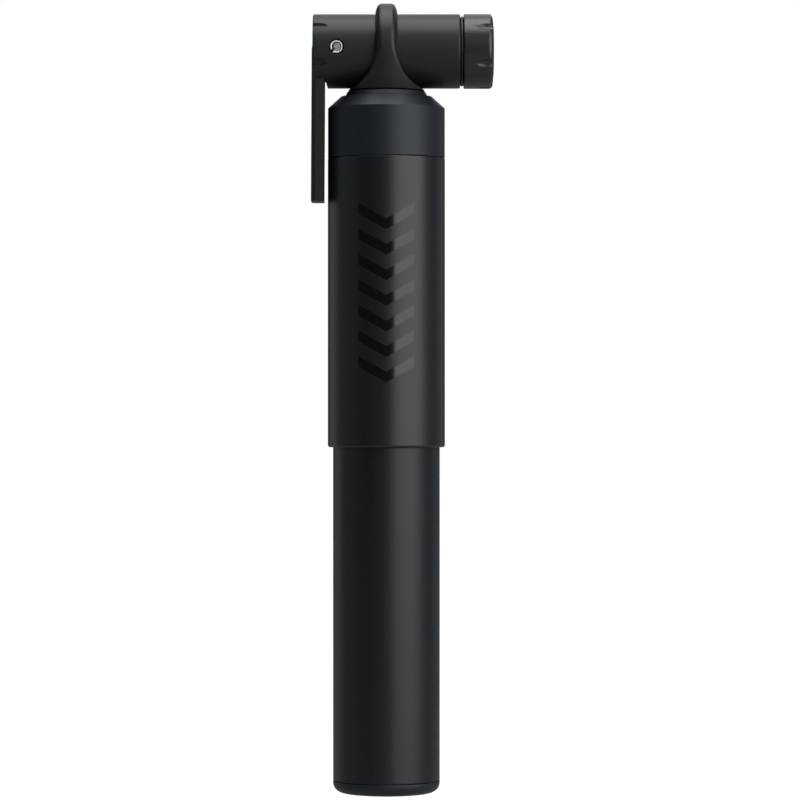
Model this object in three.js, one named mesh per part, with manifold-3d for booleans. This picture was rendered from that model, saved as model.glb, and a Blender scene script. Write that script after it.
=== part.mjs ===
// Telescopic mini pump, in millimetres, +Z up.
// The origin is the centre of the handle's flat end. The head is at the top, with its lever at -X
// and its screw cap at +X. The front is -Y.
import * as THREE from "three";
import { mergeVertices } from "three/addons/utils/BufferGeometryUtils.js";
import Module from "manifold-3d";

const wasm = await Module();
wasm.setup();

// Handle: the thin tube with its end cap, the rod and the piston.
const tubeRadius = 12.3;
const tubeBore = 11.3;
const tubeTop = 143.4;
const seamHeight = 2.75; // where the end cap's rim meets the tube
const endFaceRadius = 9.9;
const guideRing = { bottom: 139.6, top: 142.8, radius: 12.5 };
const rodRadius = 2.75;
const threadRadius = 1.9;
const pistonRadius = 8.2;
const piston = { bottom: 139.85, top: 146 };

// Body: the sleeve, the collar and the pressure barrel.
const sleeveRadius = 13.5;
const sleeveBore = 12.6;
const sleeveBottom = 79.6;
const collarBottom = 146.3;
const shoulderHeight = 157.7; // where the collar's straight wall ends and its cone begins
const ledge = { radius: 10.5, height: 160.4 };
const barrel = { radius: 9.6, bore: 8.5, bottom: 72, top: 152 };
const spigotRadius = 6.5;
const spigotBottom = 150.5;
const ballRadius = 1.9;
const seatHole = 1.2;
const seatTop = 150.2;

// Head: the yoke that carries the chuck, whose own axis lies along X.
const chuckHeight = 170.9;
const ringRadius = 11;
const ringWidth = 5.1;
const ringBore = 8.75;
const yokeBase = { radius: 8.8, bottom: 161.7 };
const flareRadius = 8.6;
const airHole = 1.5;
const housing = { radius: 8.55, left: -16.9, right: 17, neck: 6.95, neckEnd: 22.2 };
const plungerBore = 5.2;
const gasketBore = 6.4;
const gasketSeat = 14;
const pocket = { halfWidth: 5.35, slotEnd: -13.9, end: -6.9, floor: 165.7, roof: 177.35, corner: 0.7 };
const pivot = { x: -11.4, z: 171.3, pin: 1.45, hole: 1.6, mouth: 1.82 };
const capFace = 24.7;
const capBack = 17.8;
const capRadius = 8.6;
const valveHole = 4.2;

// Lever: its cam lifts in proportion to its angle, so the plunger moves evenly.
const lever = { halfWidth: 5.25, outer: -5.75, inner: -2.8, tip: -35.15, chamfer: 0.9 };
const camBase = 2.8;
const camLift = 1.5;
const quarterTurn = Math.PI / 2;
const camRise = camLift / quarterTurn;

const gap = 0.2;
const roundSides = 32;
const smallSides = 20;
const paints = {
  anodised: { color: 0x17191c, roughness: 0.5, metalness: 0.6 },
  satin: { color: 0x1b1d20, roughness: 0.4, metalness: 0.6 },
  moulded: { color: 0x121315, roughness: 0.45, metalness: 0 },
  rubber: { color: 0x0a0a0b, roughness: 0.9, metalness: 0 },
  steel: { color: 0xb4b6b8, roughness: 0.3, metalness: 1 },
  alloy: { color: 0xa8abaf, roughness: 0.35, metalness: 1 },
  brass: { color: 0xb08d45, roughness: 0.35, metalness: 1 },
  polymer: { color: 0x2a2b2d, roughness: 0.6, metalness: 0 },
};

function toSolid(geometry) {
  const bare = geometry.clone();
  bare.deleteAttribute("normal");
  bare.deleteAttribute("uv");
  const merged = mergeVertices(bare, 1e-4);
  const triVerts = new Uint32Array(merged.index.array);
  const vertProperties = merged.attributes.position.array;
  return new wasm.Manifold(new wasm.Mesh({ numProp: 3, vertProperties, triVerts }));
}

function toGeometry(solid) {
  const made = solid.getMesh();
  const geometry = new THREE.BufferGeometry();
  geometry.setAttribute("position", new THREE.BufferAttribute(made.vertProperties, 3));
  geometry.setIndex(new THREE.BufferAttribute(made.triVerts, 1));
  geometry.computeVertexNormals();
  return geometry;
}

// A solid of revolution about Z from [radius, height] points, which run anticlockwise.
function turned(points, sides = roundSides) {
  const closed = points[0][0] > 0 ? [...points, points[0]] : points;
  const profile = closed.map(([radius, height]) => new THREE.Vector2(radius, height));
  return new THREE.LatheGeometry(profile, sides).rotateX(quarterTurn);
}

// A plain tube or, with no bore, a rod.
function tube(bottom, top, radius, bore = 0, sides = roundSides) {
  return turned([[bore, bottom], [radius, bottom], [radius, top], [bore, top]], sides);
}

function sealRing(radius, thickness, height) {
  return new THREE.TorusGeometry(radius, thickness / 2, 6, smallSides).translate(0, 0, height);
}

// An outline of [x, z] points made thick along Y, centred on Y = 0.
function slab(points, thickness) {
  const outline = new THREE.Shape(points.map(([x, z]) => new THREE.Vector2(x, z)));
  const body = new THREE.ExtrudeGeometry(outline, { depth: thickness, bevelEnabled: false });
  return body.translate(0, 0, -thickness / 2).rotateX(quarterTurn);
}

// Points [across, up] along an arc, both ends included.
function arc(across, up, radius, from, to, steps) {
  return Array.from({ length: steps + 1 }, (_, i) => {
    const angle = from + ((to - from) * i) / steps;
    return [across + radius * Math.cos(angle), up + radius * Math.sin(angle)];
  });
}

function piece(name, geometry, paint) {
  const mesh = new THREE.Mesh(geometry, new THREE.MeshStandardMaterial(paints[paint]));
  mesh.name = name;
  return mesh;
}

function endCap() {
  const plug = 10.95;
  const edge = tubeRadius - endFaceRadius;
  return turned([
    [0, 0],
    ...arc(endFaceRadius, edge, edge, -quarterTurn, 0, 4),
    [tubeRadius, seamHeight],
    [plug, seamHeight],
    [plug, 6.6],
    [9.9, 6.6],
    [9.9, 8],
    [plug, 8],
    [plug, 11.6],
    [10.3, 12.2],
    [threadRadius + gap, 12.2],
    [threadRadius + gap, 4],
    [0, 4],
  ]);
}

function handleTube() {
  const groove = 11.85;
  return turned([
    [tubeBore, seamHeight + gap],
    [tubeRadius, seamHeight + gap],
    [tubeRadius, guideRing.bottom - 0.1],
    [groove, guideRing.bottom - 0.1],
    [groove, guideRing.top + 0.1],
    [tubeRadius, guideRing.top + 0.1],
    [tubeRadius, tubeTop],
    [tubeBore, tubeTop],
  ]);
}

function pistonRod() {
  return turned([
    [0, 4.3],
    [threadRadius, 4.3],
    [threadRadius, 12.5],
    [rodRadius, 12.5],
    [rodRadius, piston.bottom - 0.15],
    [threadRadius, piston.bottom - 0.15],
    [threadRadius, 147.4],
    [0, 147.4],
  ], smallSides);
}

function pistonHead() {
  const groove = 6.5;
  return turned([
    [threadRadius + gap, piston.bottom],
    [pistonRadius, piston.bottom],
    [pistonRadius, 142.1],
    [groove, 142.1],
    [groove, 144.1],
    [pistonRadius, 144.1],
    [pistonRadius, 145.6],
    [pistonRadius - 0.4, piston.top],
    [threadRadius + gap, piston.top],
  ]);
}

function pistonNut() {
  const hexagon = toSolid(tube(piston.top + 0.15, 147.55, 3.7, 0, 6));
  return toGeometry(hexagon.subtract(toSolid(tube(140, 150, threadRadius + gap, 0, smallSides))));
}

function makeHandle() {
  const handle = new THREE.Group();
  handle.add(
    piece("handle_end_cap", endCap(), "satin"),
    piece("end_cap_o_ring", sealRing(10.5, 1, 7.3), "rubber"),
    piece("handle_tube", handleTube(), "anodised"),
    piece("handle_guide_ring", tube(guideRing.bottom, guideRing.top, guideRing.radius, 11.95), "polymer"),
    piece("piston_rod", pistonRod(), "steel"),
    piece("piston_head", pistonHead(), "polymer"),
    piece("piston_o_ring", sealRing(7.45, 1.7, 143.1), "rubber"),
    piece("piston_nut", pistonNut(), "steel"),
    piece("stop_bumper", tube(136.7, 139.6, 5.5, rodRadius + gap, smallSides), "rubber"),
  );
  return handle;
}

function outerSleeve() {
  const edge = 0.5;
  const recess = 13.05;
  return turned([
    [sleeveBore, sleeveBottom],
    ...arc(sleeveRadius - edge, sleeveBottom + edge, edge, -quarterTurn, 0, 3),
    [sleeveRadius, collarBottom - gap],
    [sleeveBore, collarBottom - gap],
    [sleeveBore, 83.7],
    [recess, 83.7],
    [recess, 80.4],
    [sleeveBore, 80.4],
  ]);
}

function collar() {
  const register = 12.35;
  const barrelSocket = barrel.radius + 0.25;
  const rim = { foot: 9.5, radius: 9 };
  const spigotSocket = spigotRadius + 0.25;
  return turned([
    [barrelSocket, 144],
    [register, 144],
    [register, collarBottom],
    [sleeveRadius, collarBottom],
    [sleeveRadius, shoulderHeight],
    [ledge.radius, ledge.height],
    [rim.foot, ledge.height + 0.1],
    [rim.radius, yokeBase.bottom - gap],
    [spigotSocket, yokeBase.bottom - gap],
    [spigotSocket, 153.4],
    [barrelSocket, 153.4],
  ]);
}

function rodGuide() {
  return turned([
    [rodRadius + gap, 70.3],
    [barrel.radius, 70.3],
    [barrel.radius, barrel.bottom - gap],
    [barrel.bore - gap, barrel.bottom - gap],
    [barrel.bore - gap, 80.3],
    [rodRadius + gap, 80.3],
  ]);
}

// The foot of the yoke: a round stem that narrows in a fillet to the ring's width.
function flare() {
  const flank = ringWidth / 2;
  const centreHeight = chuckHeight - 0.7;
  const start = Math.PI;
  const end = Math.PI + Math.asin((centreHeight - yokeBase.bottom) / flareRadius) * 0.985;
  const fillet = arc(flank + flareRadius, centreHeight, flareRadius, start, end, 8).reverse();
  const right = [[yokeBase.radius, yokeBase.bottom], ...fillet, [flank, chuckHeight]];
  const left = right.map(([x, z]) => [-x, z]).reverse();
  const front = toSolid(slab([...right, ...left], 24));
  const plan = toSolid(turned([
    [0, yokeBase.bottom],
    [yokeBase.radius, yokeBase.bottom],
    [9.7, 164.6],
    [10.5, 167.6],
    [10.9, chuckHeight],
    [0, chuckHeight],
  ]));
  return front.intersect(plan);
}

function yokeHead() {
  const groove = 5.4;
  const springBore = 2.4;
  const edge = 0.85;
  const flank = ringWidth / 2;
  const ring = turned([
    [0, -flank],
    [ringRadius - edge * 1.4, -flank],
    [ringRadius, -flank + edge],
    [ringRadius, flank - edge],
    [ringRadius - edge * 1.4, flank],
    [0, flank],
  ], 40).rotateY(quarterTurn).translate(0, 0, chuckHeight);
  const spigot = turned([
    [0, spigotBottom],
    [spigotRadius, spigotBottom],
    [spigotRadius, 156.2],
    [groove, 156.2],
    [groove, 157.8],
    [spigotRadius, 157.8],
    [spigotRadius, yokeBase.bottom + 0.3],
    [0, yokeBase.bottom + 0.3],
  ], smallSides);
  const bore = tube(-20, 20, ringBore).rotateY(quarterTurn).translate(0, 0, chuckHeight);
  const airway = turned([
    [0, 150],
    [springBore, 150],
    [springBore, 158.6],
    [airHole, 159.4],
    [airHole, 165],
    [0, 165],
  ], smallSides);
  const outside = toSolid(ring).add(flare()).add(toSolid(spigot));
  return toGeometry(outside.subtract(toSolid(bore)).subtract(toSolid(airway)));
}

// The coil sits on the ball and lets it lift.
function valveSpring() {
  const turns = 4;
  const radius = 1.5;
  const bottom = 153.4;
  const height = 4.7;
  const steps = 48;
  const points = Array.from({ length: steps + 1 }, (_, i) => {
    const angle = (i / steps) * turns * 2 * Math.PI;
    const rise = (height * i) / steps;
    return new THREE.Vector3(radius * Math.cos(angle), radius * Math.sin(angle), bottom + rise);
  });
  const wire = new THREE.Shape().absarc(0, 0, 0.25, 0, 2 * Math.PI);
  const path = new THREE.CatmullRomCurve3(points);
  return new THREE.ExtrudeGeometry(wire, { steps, curveSegments: 2, extrudePath: path });
}

function makeBody() {
  const body = new THREE.Group();
  const ballHeight = seatTop + Math.sqrt(ballRadius ** 2 - seatHole ** 2) + 0.1;
  body.add(
    piece("outer_sleeve", outerSleeve(), "anodised"),
    piece("sleeve_bushing", tube(80.5, 83.5, 12.95, 12.42), "polymer"),
    piece("collar", collar(), "satin"),
    piece("barrel", tube(barrel.bottom, barrel.top, barrel.radius, barrel.bore), "alloy"),
    piece("barrel_seal", sealRing(9.05, 0.9, 152.75), "rubber"),
    piece("rod_guide", rodGuide(), "polymer"),
    piece("valve_seat", tube(147.9, seatTop, 8.3, seatHole, smallSides), "brass"),
    piece("check_ball", new THREE.SphereGeometry(ballRadius, 16, 10).translate(0, 0, ballHeight), "steel"),
    piece("check_spring", valveSpring(), "steel"),
    piece("yoke_head", yokeHead(), "moulded"),
    piece("spigot_o_ring", sealRing(6.05, 1, 157), "rubber"),
  );
  return body;
}

// Finger grips round one end of a cylinder that lies along the chuck's axis. Each is cut by a
// round-nosed cutter that runs along the cylinder and out through its end.
function cutScallops(solid, radius, endFace, inward, reach, firstAngle) {
  const count = 6;
  const cutter = { radius: 1.2, depth: 0.5, nose: 3 };
  const steps = 4;
  const nose = Array.from({ length: steps + 1 }, (_, i) => {
    const angle = (quarterTurn * i) / steps;
    return [cutter.radius * Math.sin(angle), cutter.nose * (1 - Math.cos(angle))];
  });
  let left = solid;
  for (let i = 0; i < count; i += 1) {
    const grip = turned([...nose, [cutter.radius, reach + 2], [0, reach + 2]], 12);
    if (inward > 0) grip.rotateX(Math.PI);
    grip.translate(radius + cutter.radius - cutter.depth, 0, endFace + inward * reach);
    grip.rotateZ(firstAngle + (i * 2 * Math.PI) / count);
    left = left.subtract(toSolid(grip));
  }
  return left;
}

// The chuck's pieces are turned about their own Z, which the chuck group lays along +X.
// There, up is -X and the front stays -Y.
function chuckHousing() {
  const edge = 0.35;
  const airGroove = 7.9;
  const sealGroove = 7.35;
  const outline = [
    [0, housing.left],
    [housing.radius - edge, housing.left],
    [housing.radius, housing.left + edge],
  ];
  const grooves = [[-2.35, -1.05, sealGroove], [-0.8, 0.8, airGroove], [1.05, 2.35, sealGroove]];
  for (const [from, to, depth] of grooves) {
    outline.push([housing.radius, from], [depth, from], [depth, to], [housing.radius, to]);
  }
  outline.push(
    [housing.radius, housing.right - edge],
    [housing.radius - edge, housing.right],
    [housing.neck, housing.right],
    [housing.neck, housing.neckEnd],
    [gasketBore, housing.neckEnd],
    [gasketBore, gasketSeat],
    [plungerBore, gasketSeat],
    [plungerBore, pocket.end - 0.4],
    [0, pocket.end - 0.4],
  );
  const radialHole = tube(4, 10, 0.8, 0, 10).rotateY(quarterTurn);
  const outside = toSolid(turned(outline)).subtract(toSolid(radialHole));
  const cut = outside.subtract(leverPocket()).subtract(pinHole());
  return toGeometry(cutScallops(cut, housing.radius, housing.left, 1, 4.05, 0.905));
}

function leverPocket() {
  const { halfWidth, corner } = pocket;
  const roof = chuckHeight - pocket.roof;
  const floor = chuckHeight - pocket.floor;
  const section = (low) => new THREE.Shape([
    new THREE.Vector2(low, -halfWidth),
    new THREE.Vector2(low, halfWidth),
    new THREE.Vector2(roof + corner, halfWidth),
    new THREE.Vector2(roof, halfWidth - corner),
    new THREE.Vector2(roof, corner - halfWidth),
    new THREE.Vector2(roof + corner, -halfWidth),
  ]);
  const room = (low, from, to) => {
    const options = { depth: to - from, bevelEnabled: false };
    return toSolid(new THREE.ExtrudeGeometry(section(low), options).translate(0, 0, from));
  };
  return room(12, housing.left - 1, pocket.slotEnd).add(room(floor, pocket.slotEnd - 0.1, pocket.end));
}

function pinHole() {
  const mouthDepth = 7.2;
  const hole = toSolid(tube(-12, 12, pivot.hole, 0, smallSides))
    .add(toSolid(tube(mouthDepth, 12, pivot.mouth, 0, smallSides)))
    .add(toSolid(tube(-12, -mouthDepth, pivot.mouth, 0, smallSides)));
  return hole.rotate([90, 0, 0]).translate([chuckHeight - pivot.z, 0, pivot.x]);
}

function plunger() {
  const radius = plungerBore - 0.3;
  const waist = 3.7;
  const groove = 3.9;
  const back = pivot.x + camBase + gap;
  const airBore = 1.2;
  const outline = turned([
    [0, back],
    [radius, back],
    [radius, -5.6],
    [groove, -5.6],
    [groove, -4.2],
    [radius, -4.2],
    [radius, -2.6],
    [waist, -2.6],
    [waist, 3],
    [radius, 3],
    [radius, gasketSeat + 0.25],
    [gasketBore - 0.3, gasketSeat + 0.25],
    [gasketBore - 0.3, 15.9],
    [airBore, 15.9],
    [airBore, -0.6],
    [0, -0.6],
  ], 24);
  const crossHole = tube(-5, 5, 0.8, 0, 10).rotateY(quarterTurn).translate(0, 0, 0.4);
  return toGeometry(toSolid(outline).subtract(toSolid(crossHole)));
}

function chuckCap() {
  const edge = 0.9;
  const bore = housing.neck + gap;
  const dome = 0.3;
  const frontWall = 22.95;
  const outline = turned([
    [bore, capBack],
    [capRadius - 0.3, capBack],
    [capRadius, capBack + 0.3],
    ...arc(capRadius - edge, capFace - edge - dome, edge, 0, quarterTurn * 0.9, 3),
    [valveHole + 1.4, capFace],
    [valveHole + 0.5, capFace],
    [valveHole, capFace - 0.5],
    [valveHole, frontWall],
    [bore, frontWall],
  ]);
  return toGeometry(cutScallops(toSolid(outline), capRadius, capFace, -1, 4.5, 0.934));
}

function lockLever() {
  const { outer, inner, tip, halfWidth, chamfer } = lever;
  const tipRound = 0.3;
  const cam = Array.from({ length: 9 }, (_, i) => {
    const angle = (quarterTurn * i) / 8;
    const reach = camBase + camRise * angle;
    const x = reach * Math.cos(angle) - camRise * Math.sin(angle);
    const z = reach * Math.sin(angle) + camRise * Math.cos(angle);
    return [x, z];
  });
  const back = arc(-camRise, -0.6, -camRise - outer, quarterTurn, Math.PI, 6);
  const side = slab([
    [inner, tip + tipRound],
    [inner, -4.8],
    [-2.2, -3.6],
    [-1.1, -2.9],
    ...arc(0, 0, camBase, -quarterTurn, 0, 6),
    ...cam,
    ...back,
    [outer, tip + tipRound],
    [outer + tipRound, tip],
    [inner - tipRound, tip],
  ], 2 * halfWidth);
  const plan = new THREE.Shape([
    new THREE.Vector2(outer, chamfer - halfWidth),
    new THREE.Vector2(outer + chamfer, -halfWidth),
    new THREE.Vector2(6, -halfWidth),
    new THREE.Vector2(6, halfWidth),
    new THREE.Vector2(outer + chamfer, halfWidth),
    new THREE.Vector2(outer, halfWidth - chamfer),
  ]);
  const column = new THREE.ExtrudeGeometry(plan, { depth: 60, bevelEnabled: false }).translate(0, 0, -45);
  const hole = tube(-8, 8, pivot.hole, 0, smallSides).rotateX(quarterTurn);
  return toGeometry(toSolid(side).intersect(toSolid(column)).subtract(toSolid(hole)));
}

// A slotted roll pin: a rolled strip whose edges don't quite meet.
function leverPin() {
  const length = 16;
  const wall = 0.5;
  const slit = 0.35;
  const section = new THREE.Shape();
  section.absarc(0, 0, pivot.pin, slit / 2, 2 * Math.PI - slit / 2);
  section.absarc(0, 0, pivot.pin - wall, 2 * Math.PI - slit / 2, slit / 2, true);
  const options = { depth: length, curveSegments: 10, bevelEnabled: false };
  const pin = new THREE.ExtrudeGeometry(section, options);
  return pin.rotateZ(Math.PI * 1.25).translate(0, 0, -length / 2).rotateX(quarterTurn);
}

function makeChuck() {
  const chuck = new THREE.Group();
  chuck.position.z = chuckHeight;
  chuck.rotation.y = quarterTurn;
  const frontSides = 24;
  chuck.add(
    piece("chuck_housing", chuckHousing(), "moulded"),
    piece("yoke_o_ring_left", sealRing(7.98, 1, -1.7), "rubber"),
    piece("yoke_o_ring_right", sealRing(7.98, 1, 1.7), "rubber"),
    piece("plunger", plunger(), "polymer"),
    piece("plunger_o_ring", sealRing(4.5, 1, -4.9), "rubber"),
    piece("valve_gasket", tube(16.15, 22, gasketBore - gap, 3.2, frontSides), "rubber"),
    piece("cap_washer", tube(22.35, 22.75, housing.neck, valveHole, frontSides), "polymer"),
    piece("cap_o_ring", sealRing(7.7, 0.72, 17.4), "rubber"),
    piece("chuck_cap", chuckCap(), "moulded"),
  );
  return chuck;
}

function makeLever() {
  const joint = new THREE.Group();
  joint.position.set(pivot.x, 0, pivot.z);
  joint.add(piece("lock_lever", lockLever(), "moulded"), piece("lever_pin", leverPin(), "steel"));
  return joint;
}

const pump = new THREE.Group();
pump.add(makeHandle(), makeBody(), makeChuck(), makeLever());

export default pump;
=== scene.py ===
import math

import bmesh
import bpy
import numpy as np
from mathutils import Matrix, Vector


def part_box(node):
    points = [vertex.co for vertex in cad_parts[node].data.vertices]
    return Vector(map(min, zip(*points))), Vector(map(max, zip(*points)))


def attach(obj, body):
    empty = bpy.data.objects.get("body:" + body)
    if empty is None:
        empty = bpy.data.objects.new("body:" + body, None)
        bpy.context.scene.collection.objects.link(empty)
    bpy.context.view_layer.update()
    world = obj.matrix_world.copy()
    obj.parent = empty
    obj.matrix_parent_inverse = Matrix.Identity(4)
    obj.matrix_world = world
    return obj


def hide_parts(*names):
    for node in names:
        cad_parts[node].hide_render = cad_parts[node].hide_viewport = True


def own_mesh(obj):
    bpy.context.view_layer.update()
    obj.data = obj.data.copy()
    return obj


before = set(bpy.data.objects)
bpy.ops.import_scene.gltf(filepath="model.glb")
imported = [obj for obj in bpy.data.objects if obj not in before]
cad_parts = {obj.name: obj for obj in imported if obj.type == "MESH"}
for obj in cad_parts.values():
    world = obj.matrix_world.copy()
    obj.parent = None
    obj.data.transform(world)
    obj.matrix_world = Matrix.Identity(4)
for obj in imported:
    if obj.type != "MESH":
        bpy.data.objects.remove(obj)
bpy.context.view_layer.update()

mm = 0.001
fullTurn = 2 * math.pi
quarterTurn = math.pi / 2
print("frame loaded:", len(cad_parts), "nodes")


def nodeBox(node):  # a node's lowest and highest corners, in millimetres
    low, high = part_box(node)
    return low / mm, high / mm


# the places that everything else is worked out from, in millimetres
sleeveLow, sleeveHigh = nodeBox("outer_sleeve")
tubeLow, tubeHigh = nodeBox("handle_tube")
collarLow, collarHigh = nodeBox("collar")
pinLow, pinHigh = nodeBox("lever_pin")
washerLow, washerHigh = nodeBox("cap_washer")
housingLeft = nodeBox("chuck_housing")[0].x
capFace = nodeBox("chuck_cap")[1].x
chuckHeight = (washerLow.z + washerHigh.z) / 2
pivot = Vector(((pinLow.x + pinHigh.x) / 2, 0, (pinLow.z + pinHigh.z) / 2))
sleeveRadius = sleeveHigh.x
tubeRadius = tubeHigh.x
overshoot = 12  # how far a cutter runs out of the piece it cuts

# pieces turned about Z are laid along the chuck, or along the lever's pin, by these
alongChuck = Matrix.Translation((0, 0, chuckHeight * mm)) @ Matrix.Rotation(quarterTurn, 4, "Y")
alongPin = Matrix.Translation(pivot * mm) @ Matrix.Rotation(quarterTurn, 4, "X")


def roundedOutline(corners, closed=True, steps=5):
    # corners are (radius, height) or (radius, height, rounding)
    corners = [tuple(c) + (0,) * (3 - len(c)) for c in corners]
    count = len(corners)
    points = []
    for i, (x, y, rounding) in enumerate(corners):
        here = Vector((x, y))
        if rounding == 0 or (not closed and i in (0, count - 1)):
            points.append(here)
            continue
        before = Vector(corners[i - 1][:2]) - here
        after = Vector(corners[(i + 1) % count][:2]) - here
        half = before.angle(after) / 2
        reach = rounding / math.tan(half)
        inward = (before.normalized() + after.normalized()).normalized()
        centre = here + inward * rounding / math.sin(half)
        start = here + before.normalized() * reach - centre
        swing = start.angle_signed(here + after.normalized() * reach - centre)
        for k in range(steps + 1):
            points.append(centre + Matrix.Rotation(-swing * k / steps, 2) @ start)
    return supported(points, closed)


def supported(points, closed, inset=0.22):
    # a point close to each end of a long side keeps that side flat when it is shaded
    made = []
    last = len(points) if closed else len(points) - 1
    for i, point in enumerate(points):
        made.append(point)
        if i >= last:
            continue
        step = points[(i + 1) % len(points)] - point
        if step.length > 5 * inset:
            made.append(point + step.normalized() * inset)
            made.append(point + step - step.normalized() * inset)
    return made


def turnedMesh(outline, closed=True, sides=160):
    # a solid of revolution about Z, in metres; a closed outline is a ring's section
    made = bmesh.new()
    onAxis = 1e-5
    rings = []
    for radius, height in outline:
        if radius < onAxis:
            rings.append([made.verts.new((0, 0, height * mm))])
            continue
        rings.append([
            made.verts.new((radius * math.cos(a) * mm, radius * math.sin(a) * mm, height * mm))
            for a in (fullTurn * i / sides for i in range(sides))
        ])
    pairs = list(zip(rings, rings[1:]))
    if closed:
        pairs.append((rings[-1], rings[0]))
    for one, other in pairs:
        for i in range(sides):
            j = (i + 1) % sides
            around = [one[i % len(one)], one[j % len(one)], other[j % len(other)], other[i % len(other)]]
            face = list(dict.fromkeys(around))
            if len(face) > 2:
                made.faces.new(face)
    bmesh.ops.recalc_face_normals(made, faces=made.faces)
    return made


def addObject(name, mesh, turn=None, smoothBelow=32):
    if isinstance(mesh, bmesh.types.BMesh):
        data = bpy.data.meshes.new(name)
        mesh.to_mesh(data)
        mesh.free()
    else:
        data = mesh
    if turn:
        data.transform(turn)
    data.shade_smooth()
    data.set_sharp_from_angle(angle=math.radians(smoothBelow))
    made = bpy.data.objects.new(name, data)
    bpy.context.scene.collection.objects.link(made)
    return made


def settle(piece):  # turns the modifiers' result into the piece's own mesh
    bpy.context.view_layer.update()
    result = bpy.data.meshes.new_from_object(piece.evaluated_get(bpy.context.evaluated_depsgraph_get()))
    piece.modifiers.clear()
    spare = piece.data
    piece.data = result
    bpy.data.meshes.remove(spare)


def cutAway(piece, cutters):
    for cutter in cutters:
        step = piece.modifiers.new("cut", "BOOLEAN")
        step.operation = "DIFFERENCE"
        step.solver = "MANIFOLD"
        step.object = cutter
        settle(piece)
        bpy.data.objects.remove(cutter)


def breakEdges(piece, width, segments=2, above=40):  # the small radius that a deburred edge has
    edges = piece.modifiers.new("edges", "BEVEL")
    edges.width = width * mm
    edges.segments = segments
    edges.limit_method = "ANGLE"
    edges.angle_limit = math.radians(above)
    edges.use_clamp_overlap = True
    edges.miter_outer = "MITER_ARC"
    settle(piece)
    weighted = piece.modifiers.new("faceWeights", "WEIGHTED_NORMAL")
    weighted.keep_sharp = True
    piece.data.shade_smooth()
    piece.data.set_sharp_from_angle(angle=math.radians(above + 5))
    settle(piece)


def finish(piece, material, body, slot, *nodes):
    piece.data.materials.clear()
    piece.data.materials.append(material)
    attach(piece, body)
    if nodes:
        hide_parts(*nodes)
    return piece


def prism(points, low, high):  # an outline of (x, y) points made thick along Z, in metres
    made = bmesh.new()
    bottom = [made.verts.new((x * mm, y * mm, low * mm)) for x, y in points]
    top = [made.verts.new((x * mm, y * mm, high * mm)) for x, y in points]
    made.faces.new(bottom)
    made.faces.new(top)
    for i in range(len(points)):
        j = (i + 1) % len(points)
        made.faces.new((bottom[i], bottom[j], top[j], top[i]))
    bmesh.ops.recalc_face_normals(made, faces=made.faces)
    return made


def rod(radius, low, high, sides=64):
    corners = ((0, low), (radius, low), (radius, high), (0, high))
    return turnedMesh([Vector(corner) for corner in corners], False, sides)


def fieldSlope(field, points, reach=0.01):
    slope = np.empty_like(points)
    for axis in range(3):
        shift = np.zeros(3)
        shift[axis] = reach
        ahead, behind = points + shift, points - shift
        slope[:, axis] = (field(*ahead.T) - field(*behind.T)) / (2 * reach)
    return slope


def fieldMesh(name, field, low, high, step):
    # a mesh round the space where the field is below zero: one point in each cell that the surface crosses
    lines = [np.arange(a, b + step, step) for a, b in zip(low, high)]
    grid = np.stack(np.meshgrid(*lines, indexing="ij"), axis=-1)
    value = field(grid[..., 0], grid[..., 1], grid[..., 2])
    inside = value < 0
    size = [n - 1 for n in value.shape]
    offsets = [(i, j, k) for i in (0, 1) for j in (0, 1) for k in (0, 1)]

    def corner(data, offset):
        i, j, k = offset
        return data[i:i + size[0], j:j + size[1], k:k + size[2]]

    total = sum(corner(inside, o).astype(int) for o in offsets)
    mixed = (total > 0) & (total < 8)
    place = np.zeros((mixed.sum(), 3))
    hits = np.zeros((mixed.sum(), 1))
    for a in offsets:
        for b in offsets:
            if sum(b) - sum(a) != 1 or any(q < p for p, q in zip(a, b)):
                continue
            near, far = corner(value, a)[mixed], corner(value, b)[mixed]
            crossed = (near < 0) != (far < 0)
            share = np.where(crossed, near / np.where(crossed, near - far, 1), 0)[:, None]
            start, end = corner(grid, a)[mixed], corner(grid, b)[mixed]
            place += np.where(crossed[:, None], start + share * (end - start), 0)
            hits += crossed[:, None]
    place /= hits
    for _ in range(4):  # slide each point onto the surface
        slope = fieldSlope(field, place)
        away = field(*place.T)[:, None]
        move = away * slope / np.maximum((slope ** 2).sum(1, keepdims=True), 1e-6)
        place -= np.clip(move, -step / 2, step / 2)
    number = np.full(mixed.shape, -1)
    number[mixed] = np.arange(mixed.sum())
    faces = []
    for axis in range(3):
        one, two = [a for a in range(3) if a != axis]
        ahead = np.roll(inside, -1, axis)
        crossing = np.argwhere(inside != ahead)
        within = (crossing[:, axis] < size[axis]) & (crossing[:, one] > 0) & (crossing[:, two] > 0)
        within &= (crossing[:, one] < size[one]) & (crossing[:, two] < size[two])
        crossing = crossing[within]
        around = []
        for p, q in ((0, 0), (1, 0), (1, 1), (0, 1)):
            cell = crossing.copy()
            cell[:, one] -= p
            cell[:, two] -= q
            around.append(number[tuple(cell.T)])
        quads = np.stack(around, axis=1)
        flip = inside[tuple(crossing.T)] != (axis == 1)
        quads[flip] = quads[flip][:, ::-1]
        faces.append(quads)
    data = bpy.data.meshes.new(name)
    data.from_pydata((place * mm).tolist(), [], np.concatenate(faces).tolist())
    data.validate()
    made = bmesh.new()
    made.from_mesh(data)
    bmesh.ops.recalc_face_normals(made, faces=made.faces)
    made.to_mesh(data)
    made.free()
    return data


def softMax(a, b, k):  # the larger of two fields, blended where they are within k of each other
    blend = np.clip(0.5 + 0.5 * (a - b) / k, 0, 1)
    return b + (a - b) * blend + k * blend * (1 - blend)


print("tools ready")


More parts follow.
